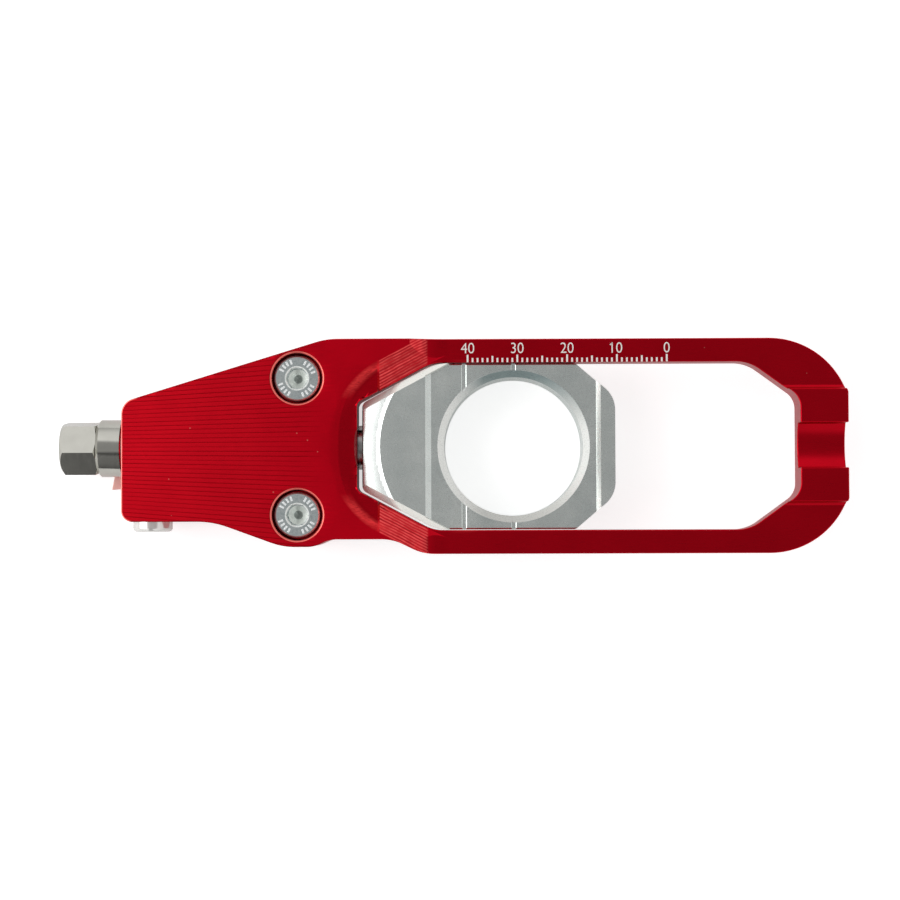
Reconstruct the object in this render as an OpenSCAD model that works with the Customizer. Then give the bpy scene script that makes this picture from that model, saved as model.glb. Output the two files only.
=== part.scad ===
// Motorcycle chain adjuster: a milled plate that carries a sliding axle block, drawn along by a captive bolt.
// X runs along the plate from the bolt to the far end, Y across it, Z up to the engraved face.
// The origin lies under the middle of the whole adjuster, on the surface that it rests on.

/* [Body plate] */
// Length of the plate, from the nose's end face to the far end
body_l = 145.5; // [130:0.5:180]
// Half the width over the rails
body_hw = 21.6; // [20:0.1:26]
// Height of the plate's back face over the resting surface
plate_z = 8; // [6:0.5:10]
// Thickness of a rail
rail_t = 6; // [4:0.5:8]
// How far the nose and the end pad stand above the rails
rise = 2; // [1:0.1:3]
// Radius of the outer corners at the far end
end_r = 16.5; // [12:0.5:20]
// How much of those round corners the flat end face takes off
end_flat = 0.96; // [0.2:0.02:2]

/* [Window] */
// Distance from the nose's deep part to the window's left wall
window_back = 3.3; // [2.5:0.1:5]
// Distance from the window's right wall to the far end
window_end = 9.6; // [8:0.1:14]
// Half the width of the window
window_hw = 16.85; // [15.5:0.05:18]
// Half the height of the window's flat left wall
window_left_hh = 8.8; // [7:0.1:10]
// Slope of the window's left corners against the rails, in degrees
left_slope = 28; // [24:1:34]
// Half the height of the window's flat right wall
window_right_hh = 9.6; // [8:0.1:11]
// Slope of the window's right corners against the rails, in degrees
right_slope = 36; // [30:1:45]

/* [Nose] */
// Height of the nose's upper corner over the centre line
nose_top_y = 9; // [8:0.1:11]
// Slope of the nose's upper edge, in degrees
nose_slope = 17; // [14:0.5:19]
// How far the nose's lower edge lies inside the rail's line
nose_bottom_in = 6.6; // [5:0.1:9]
// How far the bulge beside the lower fixing screw lies inside the rail's line
bulge_in = 1.5; // [0.6:0.1:2.5]
// How far the waist between the bulge and the rail lies inside the rail's line
waist_in = 3; // [2.5:0.1:3.6]
// Length of the deep part of the nose
deep_l = 44; // [43:0.5:46]
// Width of the sloped terrace round the window's left end
terrace_w = 5.4; // [4:0.1:6]
// Radius of the cove that leads down to the rails
cove_r = 16; // [8:1:20]

/* [End pad] */
// Half the width of the raised pad
pad_hw = 11.3; // [9:0.1:13]
// Fillet beside the pad
pad_fillet = 1; // [0.5:0.1:1.5]
// Width of the channel along the pad
channel_w = 9; // [6:0.1:10]
// Depth of the channel's straight walls
channel_d = 3.45; // [2.5:0.05:4]
// Radius of the channel's hollow floor
channel_r = 8.7; // [7:0.1:12]

/* [Axle block] */
// Clearance between the block and each rail
block_gap = 0.15; // [0.1:0.05:0.3]
// Length of the block
block_l = 50.9; // [49:0.1:56]
// Distance from the block's left end to the axle
axle_x = 30.5; // [29:0.1:32]
// Radius of the axle bore
axle_r = 14; // [10:0.1:14.2]
// Width of the bore's front chamfer
axle_chamfer = 1.3; // [0.5:0.1:1.5]
// Depth of the seat across the block's front
seat_d = 1; // [0.5:0.1:1.5]
// Width of the seat's floor
seat_w = 33.2; // [32:0.1:34.5]
// Distance from the block's left end to the seat's floor
seat_x = 13.9; // [13:0.1:15]
// Half the height of the block's flat right end
block_right_hh = 9.9; // [8:0.1:11]
// Slope of the block's right corners, in degrees
block_slope = 40.6; // [35:0.2:45]
// Radius of the block's right corners
block_corner_r = 5.8; // [3:0.1:7]
// Width of the shallow chamfers along the block's left corners
broad_w = 1.3; // [0.8:0.1:1.6]
// Depth of those chamfers at the block's side
broad_d = 0.5; // [0.3:0.05:0.8]
// Radius of the round edge of the block's left face
lip_r = 21.7; // [20:0.1:24]
// Distance from the block's left end to the round edge
lip_w = 3.6; // [2.5:0.1:5]
// Depth of the bevel that goes down from the round edge to the lip
lip_drop = 0.3; // [0.2:0.05:0.6]
// Width of that bevel
lip_bevel = 0.65; // [0.4:0.05:1]
// Slope of the lip, in degrees
lip_slope = 19; // [6:1:24]

/* [Adjuster] */
// Height of the bolt's axis over the resting surface
axis_z = 7; // [6.9:0.05:7.5]
// Radius of the bolt's shank
shank_r = 3; // [2.5:0.1:3.2]
// Running clearance round the shank
shank_gap = 0.05; // [0.03:0.01:0.08]
// Width across the flats of the bolt's hex head
hex_af = 10; // [8:0.1:11]
// Length of the hex head
hex_l = 7.4; // [5:0.1:10]
// Radius of the bolt's collar
collar_r = 5.85; // [5.2:0.05:6.4]
// Length of the bolt's collar
collar_l = 5.35; // [3:0.05:8]
// Thickness of the nose's end wall
end_wall = 11; // [10:0.5:13]
// How far the bolt's tip lies inside the window
tip_out = 6.7; // [5:0.1:8]
// Outer radius of the draw sleeve
sleeve_r = 4.5; // [4.2:0.05:4.7]
// Depth of the sleeve's seat in the block
sleeve_seat = 9; // [8:0.5:10]
// Clearance round the sleeve in the nose
sleeve_gap = 0.25; // [0.2:0.05:0.4]
// Thickness of the two thrust washers
washer_t = 1; // [0.6:0.1:1.5]
// Thickness of the retaining clip
clip_t = 1; // [0.7:0.1:1.2]
// Where the block stands: gap between its left end and the window's left wall
block_at = 0.9; // [0.85:0.05:1.2]

/* [Fasteners] */
// Distance of the fixing screws from the back of the nose's deep part
fixing_back = 8.7; // [7.5:0.1:10]
// How far each fixing screw lies inside the rail's line
fixing_in = 7.9; // [7.4:0.1:8.6]
// Radius of a fixing screw's head
fixing_head_r = 4.58; // [4:0.02:4.8]
// Height of a fixing screw's head
fixing_head_h = 5; // [3:0.1:5.5]
// Radius of a fixing screw's shank
fixing_r = 2.5; // [2:0.1:2.8]
// Clearance round a fixing screw's head
pocket_gap = 0.48; // [0.2:0.02:0.6]
// Distance from the nose's end face to the lock screw
lock_x = 5; // [4.5:0.1:6]
// Radius of the lock screw's head
lock_head_r = 4; // [3.5:0.1:4.3]
// How far the lock screw's head stands out of the nose
lock_head_h = 2.05; // [1.5:0.05:2.5]
// Radius of the lock screw's shank
lock_r = 2.5; // [2:0.1:3]

/* [Rear cover] */
// Thickness of the rear cover
cover_t = 2; // [1.5:0.1:2.2]
// How far the cover's edge lies inside the nose's edge
cover_inset = 0.6; // [0.3:0.1:1.5]
// Radius of the cover's threaded bosses
boss_r = 4.4; // [4:0.1:4.6]
// Height of the bosses over the cover
boss_h = 5; // [3:0.5:5.5]

/* [Hidden] */
$fn = 96;

// Step of the arcs in a rounded outline, in degrees
arc_step = 3;
// Overlap of a cutter past the face that it cuts
over = 1;
// Clearance between pieces that fit each other closely but don't turn
fit = 0.05;

rail_z = plate_z + rail_t;
front_z = rail_z + rise;

window_x = deep_l + window_back;
fixing_x = deep_l - fixing_back;
fixing_y = body_hw - fixing_in;
nose_bottom_y = body_hw - nose_bottom_in;
bulge_y = body_hw - bulge_in;
waist_y = body_hw - waist_in;

// Radii of the nose's outline, from the left corner round to the rail
nose_corner_r = 2.3;
shoulder_r = 18;
bulge_r = 14;
waist_r = 6.5;
rail_blend_r = 10;
brow_r = 15.5;
nose_tip_r = 3.2;
// Slopes of the nose's lower edge, in degrees
shoulder_slope = 20;
waist_slope = 26;
// Where the nose's lower edge leaves its flat, ends its bulge and meets the rail
shoulder_lead = 16.9;
bulge_tail = 3.4;
waist_run = 7.1;
shoulder_x = fixing_x - shoulder_lead;
bulge_end = fixing_x + bulge_tail;
waist_end = window_x + waist_run;

// Where the terrace starts on the centre line, with a flat lip between its foot and the window
terrace_lip = 0.4;
terrace_x = window_x - terrace_w - terrace_lip;
// How far past the window's upper left corner the cove comes down to the rails
cove_run = 3.2;

// Radii of the window's corners
window_left_r = 1.5;
window_left_top_r = 8;
window_right_r = 4;
window_right_top_r = 8;

// Depth of the spot face under the outer washer, and its clearance
spot_d = 0.4;
spot_gap = 0.3;
// Rim of the pocket over a fixing screw, and how deep the head lies in it
pocket_rim = 0.34;
head_sunk = 0.4;

block_x = window_x + block_at;
block_hw = window_hw - block_gap;
seat_z = rail_z - seat_d;
// Widths of the seat's two sloped ends
seat_slopes = [1.15, 0.9];
axle_at = block_x + axle_x;
edge_chamfer = 0.3;
back_chamfer = 0.6;
// Fine marks on the seat: width, depth and how far they reach in from the edge
mark_w = 0.75;
mark_d = 0.3;
mark_l = 1.7;
line_x = 7;

collar_x = -(washer_t - spot_d) - shank_gap;
hex_x = collar_x - collar_l;
origin_x = (body_l + hex_x - hex_l) / 2;
clip_x = end_wall + washer_t + shank_gap;
groove_d = 0.5;
sleeve_play = 1.1;
sleeve_x = clip_x + clip_t + sleeve_play;
sleeve_end = block_x + sleeve_seat;
bolt_tip = window_x + tip_out;
pin_r = 1.25;
pin_x = sleeve_end - 1.7;
pin_depth = 0.8;

// The cover's pointed corner: its length, its width, the depth of its upper edge and its slants
tab_l = 4.4;
tab_w = 3.8;
tab_y = 4.6;
tab_drop = 0.3;
tab_slant = 0.7;

fixing_head_z = front_z - head_sunk - fixing_head_h;
socket_af = 4;
lock_socket_af = 3;
pad_gap = 0.1;
pad_t = 1.9;
lock_tip = -(shank_r + pad_gap + pad_t);

function unit(v) = v / norm(v);
function left_of(d) = [-d[1], d[0]];
function cross_of(a, b) = a[0] * b[1] - a[1] * b[0];
function xy(p) = [p[0], p[1]];

// One rounded corner q between p and s, as a list of points; q holds x, y and the radius
function corner(p, q, s) =
    let (d1 = unit(xy(q) - xy(p)), d2 = unit(xy(s) - xy(q)), r = q[2])
    let (turn = atan2(cross_of(d1, d2), d1 * d2), side = sign(turn))
    let (from = xy(q) - d1 * r * tan(abs(turn) / 2), mid = from + left_of(d1) * side * r)
    let (n = ceil(abs(turn) / arc_step), a = atan2(from[1] - mid[1], from[0] - mid[0]))
    r == 0 ? [xy(q)] : [for (i = [0:n]) mid + r * [cos(a + turn * i / n), sin(a + turn * i / n)]];

// A closed outline with rounded corners
function rounded(pts) =
    let (n = len(pts))
    [for (i = [0:n - 1]) each corner(pts[(i + n - 1) % n], pts[i], pts[(i + 1) % n])];

// The same outline drawn in by g on every side, its radii following
function inset(pts, g) =
    let (n = len(pts))
    [for (i = [0:n - 1])
        let (p = pts[(i + n - 1) % n], q = pts[i], s = pts[(i + 1) % n])
        let (a = left_of(unit(xy(q) - xy(p))), b = left_of(unit(xy(s) - xy(q))))
        let (at = xy(q) + (a + b) * g / (1 + a * b))
        [at[0], at[1], max(0, q[2] - g * sign(cross_of(a, b)))]];

// Lower edge of the nose, from its left corner to the rail
function nose_edge() = [
    [0, -nose_bottom_y, nose_corner_r],
    [shoulder_x, -nose_bottom_y, shoulder_r],
    [shoulder_x + (bulge_y - nose_bottom_y) / tan(shoulder_slope), -bulge_y, bulge_r],
    [bulge_end, -bulge_y, waist_r],
    [bulge_end + (bulge_y - waist_y) / tan(waist_slope), -waist_y, waist_r]
];

// Upper edge of the nose, from the rail back to its left corner
function brow_edge() = [
    [(body_hw - nose_top_y) / tan(nose_slope), body_hw, brow_r],
    [0, nose_top_y, nose_tip_r]
];

function body_outline() = concat(
    nose_edge(),
    [
        [waist_end, -waist_y, rail_blend_r],
        [waist_end + (body_hw - waist_y) / tan(waist_slope), -body_hw, rail_blend_r],
        [body_l + end_flat, -body_hw, end_r],
        [body_l + end_flat, body_hw, end_r]
    ],
    brow_edge()
);

function window_outline() =
    let (wall = body_l - window_end)
    let (left = window_x + (window_hw - window_left_hh) / tan(left_slope))
    let (right = wall - (window_hw - window_right_hh) / tan(right_slope))
    [
        [window_x, -window_left_hh, window_left_r],
        [left, -window_hw, window_left_top_r],
        [right, -window_hw, window_right_top_r],
        [wall, -window_right_hh, window_right_r],
        [wall, window_right_hh, window_right_r],
        [right, window_hw, window_right_top_r],
        [left, window_hw, window_left_top_r],
        [window_x, window_left_hh, window_left_r]
    ];

function block_outline() =
    let (end = block_x + block_l)
    let (left = block_x + (block_hw - window_left_hh) / tan(left_slope))
    let (right = end - (block_hw - block_right_hh) / tan(block_slope))
    [
        [block_x, -window_left_hh, window_left_r],
        [left, -block_hw, window_left_top_r],
        [right, -block_hw, 1],
        [end, -block_right_hh, block_corner_r],
        [end, block_right_hh, block_corner_r],
        [right, block_hw, 1],
        [left, block_hw, window_left_top_r],
        [block_x, window_left_hh, window_left_r]
    ];

// Moves the adjuster from the nose's end face to its origin
module placed() {
    translate([-origin_x, 0, 0]) children();
}

// The nose's part of the plate's outline, drawn in by g, up to its deep part's back edge
module nose_shape(g) {
    intersection() {
        polygon(rounded(inset(body_outline(), g)));
        translate([-over, -2 * body_hw]) square([deep_l - g + over, 4 * body_hw]);
    }
}

// A plain bar between two X positions, two Y positions and two heights
module bar(x0, x1, y0, y1, z0, z1) {
    translate([x0, y0, z0]) cube([x1 - x0, y1 - y0, z1 - z0]);
}

// A round bar along X on the bolt's axis
module rod(x0, x1, r) {
    translate([x0, 0, axis_z]) rotate([0, 90, 0]) cylinder(r = r, h = x1 - x0);
}

// A prism along the window's upper left slope; its section has the distance out from the slope and the height
module slope_prism(x, section) {
    translate([x, window_left_hh, 0])
        rotate([0, 0, left_slope])
            rotate([90, 0, 90])
                translate([0, 0, -3 * over])
                    linear_extrude(height = 3 * body_hw) polygon(section);
}

module both_sides() {
    children();
    mirror([0, 1, 0]) children();
}

// The terrace round the window's left end: a cone that runs out into two sloped facets
module terrace_cut() {
    run = terrace_w / rise;
    reach = window_left_hh * cos(left_slope) + terrace_w;
    // The cone's outer circle touches both facets and has its centre on the centre line
    cone_r = (reach - (window_x - terrace_x) * sin(left_slope)) / (1 - sin(left_slope));
    cx = terrace_x + cone_r;
    translate([cx, 0, rail_z - over])
        cylinder(r1 = cone_r - terrace_w - run * over, r2 = cone_r + run * over, h = rise + 2 * over, $fn = 180);
    both_sides()
        intersection() {
            slope_prism(window_x, [
                [-2 * over, rail_z - 2 * over / run],
                [terrace_w + over * run, front_z + over],
                [-2 * over, front_z + over]
            ]);
            translate([cx, 0, 0])
                rotate([0, 0, 90 + left_slope]) bar(0, 3 * body_hw, -3 * body_hw, 0, 0, 2 * front_z);
        }
}

// The lower level of the rails: a cove at the nose, and a fillet beside the end pad
module rail_cut() {
    start = window_x + (window_hw - window_left_hh) / tan(left_slope) + cove_run;
    pad_start = body_l - window_end - end_r;
    translate([start, 0, rail_z + cove_r])
        rotate([90, 0, 0])
            translate([0, 0, -body_hw - over]) cylinder(r = cove_r, h = 2 * (body_hw + over), $fn = 180);
    bar(start, pad_start, -body_hw - over, body_hw + over, rail_z, front_z + over);
    both_sides() {
        bar(start, body_l + over, pad_hw + pad_fillet, body_hw + over, rail_z, front_z + over);
        bar(start, body_l + over, pad_hw, body_hw, rail_z + pad_fillet, front_z + over);
        translate([start, pad_hw + pad_fillet, rail_z + pad_fillet])
            rotate([0, 90, 0]) cylinder(r = pad_fillet, h = body_l - start + over, $fn = 32);
    }
}

module end_channel() {
    x0 = body_l - window_end - over;
    x1 = body_l + over;
    floor_z = front_z - channel_d;
    sag = channel_r - sqrt(channel_r * channel_r - channel_w * channel_w / 4);
    bar(x0, x1, -channel_w / 2, channel_w / 2, floor_z, front_z + over);
    intersection() {
        translate([x0, 0, floor_z - sag + channel_r]) rotate([0, 90, 0]) cylinder(r = channel_r, h = x1 - x0);
        bar(x0, x1, -channel_w / 2, channel_w / 2, plate_z, floor_z + sag / 2);
    }
}

// Room for the bolt, the sleeve, the fasteners and the cover's bosses
module nose_holes() {
    way_r = sleeve_r + sleeve_gap;
    rod(-over, end_wall + over, shank_r + shank_gap);
    rod(-over, spot_d, collar_r + spot_gap);
    rod(end_wall, window_x + over, way_r);
    bar(end_wall, window_x + over, -way_r, way_r, 0, axis_z);
    both_sides()
        translate([fixing_x, fixing_y, 0]) {
            translate([0, 0, fixing_head_z]) cylinder(r = fixing_head_r + pocket_gap, h = front_z);
            translate([0, 0, front_z - pocket_rim])
                cylinder(r1 = fixing_head_r + pocket_gap, r2 = fixing_head_r + pocket_gap + pocket_rim + over,
                         h = pocket_rim + over);
            cylinder(r = fixing_r + 5 * fit, h = front_z);
            cylinder(r = boss_r + fit, h = cover_t + boss_h + 2 * fit);
        }
    translate([lock_x, 0, axis_z]) rotate([90, 0, 0]) cylinder(r = lock_r + fit, h = nose_bottom_y + over);
}

module body() {
    color([0.69, 0.02, 0.08])
    placed()
    difference() {
        union() {
            intersection() {
                translate([0, 0, plate_z]) linear_extrude(height = front_z - plate_z) polygon(rounded(body_outline()));
                bar(-over, body_l, -body_hw - over, body_hw + over, 0, 2 * front_z);
            }
            translate([0, 0, cover_t])
                linear_extrude(height = rail_z - cover_t) nose_shape(0);
        }
        translate([0, 0, -over]) linear_extrude(height = 2 * front_z) polygon(rounded(window_outline()));
        terrace_cut();
        rail_cut();
        end_channel();
        nose_holes();
    }
}

module rear_cover() {
    // The pointed corner that shows below the bolt's collar
    root = cover_inset + nose_corner_r;
    tab = [
        [root, -tab_y],
        [tab_slant - tab_l, -tab_y - tab_drop],
        [-tab_l, -tab_y - tab_w],
        [root, -tab_y - tab_w + tab_slant]
    ];
    color([0.69, 0.02, 0.08])
    placed()
    difference() {
        union() {
            linear_extrude(height = cover_t) {
                nose_shape(cover_inset);
                polygon(tab);
            }
            both_sides() translate([fixing_x, fixing_y, 0]) cylinder(r = boss_r, h = cover_t + boss_h);
        }
        both_sides() translate([fixing_x, fixing_y, -over]) cylinder(r = fixing_r + fit, h = front_z);
    }
}

// A hex socket from z = 0 down, with a turned mouth and a drilled cone at its bottom
module hex_socket(af, depth) {
    r = af / 2 / cos(30);
    translate([0, 0, -depth]) cylinder(r = r, h = depth + over, $fn = 6);
    translate([0, 0, -0.35]) cylinder(r1 = af / 2, r2 = af / 2 + 0.35 + over, h = 0.35 + over);
    translate([0, 0, -depth - af / 4]) cylinder(r1 = 0.2, r2 = af / 2, h = af / 4 + 0.01);
}

module fixing_screw() {
    tip = 0.8;
    difference() {
        rotate_extrude()
            polygon([
                [0, tip], [fixing_r - 0.5, tip], [fixing_r, tip + 0.5], [fixing_r, fixing_head_z],
                [fixing_head_r, fixing_head_z], [fixing_head_r, front_z - head_sunk - 0.35],
                [fixing_head_r - 0.35, front_z - head_sunk], [0, front_z - head_sunk]
            ]);
        translate([0, 0, front_z - head_sunk]) hex_socket(socket_af, 2.4);
    }
}

module fixing_screws() {
    color([0.62, 0.65, 0.65])
    placed()
    both_sides() translate([fixing_x, fixing_y, 0]) fixing_screw();
}

module lock_screw() {
    rim = 0.8;
    shank_l = nose_bottom_y + lock_tip;
    color([0.8, 0.8, 0.78])
    placed()
    translate([lock_x, -nose_bottom_y, axis_z])
    rotate([90, 0, 0])
    difference() {
        rotate_extrude()
            polygon(concat(
                [[0, -shank_l], [lock_r, -shank_l], [lock_r, 0], [lock_head_r, 0]],
                [for (a = [0:15:90]) [lock_head_r - rim + rim * cos(a), lock_head_h - rim + rim * sin(a)]],
                [[0, lock_head_h]]
            ));
        translate([0, 0, lock_head_h]) hex_socket(lock_socket_af, 1.2);
    }
}

module lock_pad() {
    color([0.9, 0.88, 0.8])
    placed()
    translate([lock_x, -(shank_r + pad_gap), axis_z])
        rotate([90, 0, 0]) cylinder(r = lock_r - pad_gap, h = pad_t);
}

module ring(x0, x1, r_in, r_out) {
    difference() {
        rod(x0, x1, r_out);
        rod(x0 - over, x1 + over, r_in);
    }
}

module outer_washer() {
    color([0.7, 0.7, 0.7])
    placed()
    ring(spot_d - washer_t, spot_d, shank_r + 2 * shank_gap, collar_r - 0.25);
}

module inner_washer() {
    color([0.7, 0.7, 0.7])
    placed()
    ring(end_wall, end_wall + washer_t, shank_r + 2 * shank_gap, sleeve_r);
}

module adjuster_bolt() {
    hex_r = hex_af / 2 / cos(30);
    tip = 0.7;
    crown = 0.9;
    neck = 0.45;
    groove_r = shank_r - groove_d;
    color([0.74, 0.73, 0.7])
    placed()
    union() {
        intersection() {
            translate([hex_x - hex_l, 0, axis_z])
                rotate([0, 90, 0]) rotate([0, 0, 10]) cylinder(r = hex_r, h = hex_l, $fn = 6);
            translate([hex_x - hex_l, 0, axis_z])
                rotate([0, 90, 0])
                    rotate_extrude()
                        polygon([
                            [0, 0], [hex_af / 2 - 0.2, 0], [hex_r + 0.1, crown], [hex_r + 0.1, hex_l - neck],
                            [hex_af / 2, hex_l], [0, hex_l]
                        ]);
        }
        translate([hex_x, 0, axis_z])
            rotate([0, 90, 0])
                rotate_extrude()
                    polygon([
                        [0, 0], [collar_r - 0.6, 0], [collar_r, 0.6], [collar_r, collar_l - 0.4],
                        [collar_r - 0.4, collar_l], [shank_r, collar_l],
                        [shank_r, clip_x - hex_x], [groove_r, clip_x - hex_x],
                        [groove_r, clip_x + clip_t - hex_x], [shank_r, clip_x + clip_t - hex_x],
                        [shank_r, bolt_tip - tip - hex_x], [shank_r - tip, bolt_tip - hex_x], [0, bolt_tip - hex_x]
                    ]);
    }
}

module retaining_clip() {
    mouth = 2 * (shank_r - groove_d) * 0.8;
    color([0.3, 0.3, 0.3])
    placed()
    difference() {
        ring(clip_x, clip_x + clip_t, shank_r - groove_d, sleeve_r - 0.2);
        bar(clip_x - over, clip_x + clip_t + over, -mouth / 2, mouth / 2, axis_z, 2 * axis_z);
    }
}

module axle_block() {
    floor_end = block_x + seat_x + seat_w;
    lip_cx = block_x + lip_w + lip_r;
    // The lip's cone ends far outside the block, at this radius and height
    far_r = 2 * lip_r;
    far_z = rail_z - lip_drop - (far_r - lip_r - lip_bevel) * tan(lip_slope);
    broad_run = broad_w / broad_d;
    color([0.66, 0.68, 0.66])
    placed()
    difference() {
        linear_extrude(height = rail_z) polygon(rounded(block_outline()));
        // Seat across the front, with sloped ends
        translate([0, block_hw + over, 0])
            rotate([90, 0, 0])
                linear_extrude(height = 2 * (block_hw + over))
                    polygon([
                        [block_x + seat_x - 2 * seat_slopes[0], rail_z + seat_d],
                        [block_x + seat_x, seat_z],
                        [floor_end, seat_z],
                        [floor_end + 2 * seat_slopes[1], rail_z + seat_d]
                    ]);
        both_sides() {
            // Shallow chamfer along the left slope
            slope_prism(block_x, [
                [-broad_w - broad_run * over, rail_z + over],
                [over, rail_z - broad_d - over / broad_run],
                [over, rail_z + over]
            ]);
            // Chamfer along the straight front edge
            translate([block_x, 0, 0])
                rotate([90, 0, 90])
                    linear_extrude(height = block_l)
                        polygon([
                            [block_hw - edge_chamfer - over, seat_z + over],
                            [block_hw + over, seat_z - edge_chamfer - over],
                            [block_hw + over, seat_z + over]
                        ]);
        }
        // Sloped lip left of the round edge, with a bevel between them
        difference() {
            bar(block_x - over, block_x + seat_x - 2 * seat_slopes[0], -block_hw, block_hw, far_z, rail_z + over);
            translate([lip_cx, 0, 0])
                rotate_extrude($fn = 180)
                    polygon([
                        [0, far_z - over], [far_r, far_z - over], [far_r, far_z],
                        [lip_r + lip_bevel, rail_z - lip_drop], [lip_r, rail_z],
                        [lip_r, rail_z + 2 * over], [0, rail_z + 2 * over]
                    ]);
        }
        // Axle bore with its chamfers
        translate([axle_at, 0, -over]) cylinder(r = axle_r, h = rail_z + 2 * over, $fn = 180);
        translate([axle_at, 0, seat_z - axle_chamfer])
            cylinder(r1 = axle_r, r2 = axle_r + axle_chamfer + over, h = axle_chamfer + over, $fn = 180);
        translate([axle_at, 0, -over])
            cylinder(r1 = axle_r + back_chamfer + over, r2 = axle_r, h = back_chamfer + over, $fn = 180);
        // Fine line across the seat, and the index marks that read the scale
        bar(block_x + seat_x + line_x - mark_w, block_x + seat_x + line_x, -block_hw, block_hw,
            seat_z - mark_d, seat_z + over);
        both_sides()
            bar(axle_at - mark_w / 2, axle_at + mark_w / 2, block_hw - mark_l, block_hw + over,
                seat_z - mark_d, seat_z + over);
        // Seats of the sleeve and its pin
        rod(block_x - over, sleeve_end, sleeve_r);
        translate([pin_x, 0, -over]) cylinder(r = pin_r, h = axis_z - sleeve_r + 2 * over);
    }
}

module draw_sleeve() {
    mouth = 0.5;
    color([0.6, 0.6, 0.58])
    placed()
    difference() {
        rod(sleeve_x, sleeve_end, sleeve_r);
        rod(sleeve_x - over, sleeve_end + over, shank_r + shank_gap);
        translate([sleeve_x - over, 0, axis_z])
            rotate([0, 90, 0])
                cylinder(r1 = shank_r + mouth + over, r2 = shank_r, h = mouth + over);
        translate([pin_x, 0, 0]) cylinder(r = pin_r, h = axis_z - sleeve_r + pin_depth);
    }
}

module sleeve_pin() {
    color([0.5, 0.5, 0.5])
    placed()
    translate([pin_x, 0, fit]) cylinder(r = pin_r, h = axis_z - sleeve_r + pin_depth - fit);
}

body();
rear_cover();
fixing_screws();
lock_screw();
lock_pad();
outer_washer();
inner_washer();
adjuster_bolt();
retaining_clip();
axle_block();
draw_sleeve();
sleeve_pin();
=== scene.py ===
"""Looks of a motorcycle chain adjuster: red milled plate, bare axle block, polished bolt and scale."""
from math import atan2, cos, floor, hypot, radians, sin, tan

import bmesh
import bpy
from mathutils import Matrix, Vector, noise


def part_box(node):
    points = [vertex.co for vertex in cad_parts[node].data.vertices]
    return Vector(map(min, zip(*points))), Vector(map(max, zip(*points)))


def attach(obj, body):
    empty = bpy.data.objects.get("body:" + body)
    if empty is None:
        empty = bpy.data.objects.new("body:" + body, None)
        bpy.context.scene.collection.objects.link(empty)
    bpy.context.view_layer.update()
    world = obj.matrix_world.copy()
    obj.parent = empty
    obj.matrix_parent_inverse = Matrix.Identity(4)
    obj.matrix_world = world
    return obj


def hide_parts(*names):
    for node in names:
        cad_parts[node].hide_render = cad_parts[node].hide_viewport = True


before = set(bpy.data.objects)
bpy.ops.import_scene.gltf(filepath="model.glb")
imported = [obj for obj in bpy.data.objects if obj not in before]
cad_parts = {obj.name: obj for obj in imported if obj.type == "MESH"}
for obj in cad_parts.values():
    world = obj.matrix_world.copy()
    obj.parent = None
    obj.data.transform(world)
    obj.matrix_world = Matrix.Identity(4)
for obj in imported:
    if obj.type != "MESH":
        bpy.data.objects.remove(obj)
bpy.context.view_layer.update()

MM = 0.001

# Levels and places that the plate's own box gives, in metres
BODY_LOW, BODY_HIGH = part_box("body")
BLOCK_LOW, BLOCK_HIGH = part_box("axle_block")
END_FACE = BODY_LOW.x
FRONT = BODY_HIGH.z
RAIL = BLOCK_HIGH.z
# The seat lies its depth below the rails' face, and the block clears each rail by the gap
SEAT_DEPTH = 1 * MM
BLOCK_GAP = 0.15 * MM
SEAT = RAIL - SEAT_DEPTH
WINDOW_HALF = BLOCK_HIGH.y + BLOCK_GAP

# The nose, measured from its end face
TERRACE_START = END_FACE + 41.5 * MM
WINDOW_LEFT = END_FACE + 47.3 * MM
WINDOW_LEFT_HALF = 8.8 * MM
# Slope of the window's left corners, of the facets beside them and of the block's left end
DIAGONAL = radians(28)
FACET_START = END_FACE + 51.8 * MM
FACET_W = 5.4 * MM
# The facets and the cove carry one close ridge every pitch, up to here
FACET_PITCH = 0.52 * MM
RIDGED_END = END_FACE + 61.2 * MM
COVE_END = END_FACE + 65.6 * MM
# The round edge of the terrace touches both facets' upper edges
CONE_R = (WINDOW_LEFT_HALF * cos(DIAGONAL) + FACET_W - (WINDOW_LEFT - TERRACE_START) * sin(DIAGONAL)) / (
    1 - sin(DIAGONAL))
CONE_X = TERRACE_START + CONE_R
SCREW_X = END_FACE + 35.3 * MM
SCREW_Y = 13.7 * MM
# The rounded corners of the nose's left end, in millimetres: the Y of the middle, the radius and the side
NOSE_CORNERS = ((-12.7, 2.3, -1), (6.63, 3.2, 1))

# The axle block, measured from its left end
AXLE_X = BLOCK_LOW.x + 30.5 * MM
BORE_R = 14 * MM
BORE_CHAMFER = 1.3 * MM
LIP_R = 21.7 * MM
LIP_X = BLOCK_LOW.x + 3.6 * MM + LIP_R
LIP_BEVEL = 0.65 * MM
CHAMFER_W = 1.3 * MM


# Small helpers for node trees

def new_material(name):
    """An empty material with its Principled shader; returns the material, its tree and the shader."""
    material = bpy.data.materials.new(name)
    material.use_nodes = True
    tree = material.node_tree
    return material, tree, tree.nodes["Principled BSDF"]


def add(tree, kind, inputs=(), **settings):
    """A new node with its settings and input values; an input may be another node's output socket."""
    node = tree.nodes.new("ShaderNode" + kind)
    for key, value in settings.items():
        setattr(node, key, value)
    for key, value in dict(inputs).items():
        if isinstance(value, bpy.types.NodeSocket):
            tree.links.new(value, node.inputs[key])
        else:
            node.inputs[key].default_value = value
    return node


def set_plain(shader, **values):
    """Plain values on the shader's own sockets, named in words with underscores."""
    for key, value in values.items():
        shader.inputs[key.replace("_", " ").title().replace("Ior", "IOR")].default_value = value


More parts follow.
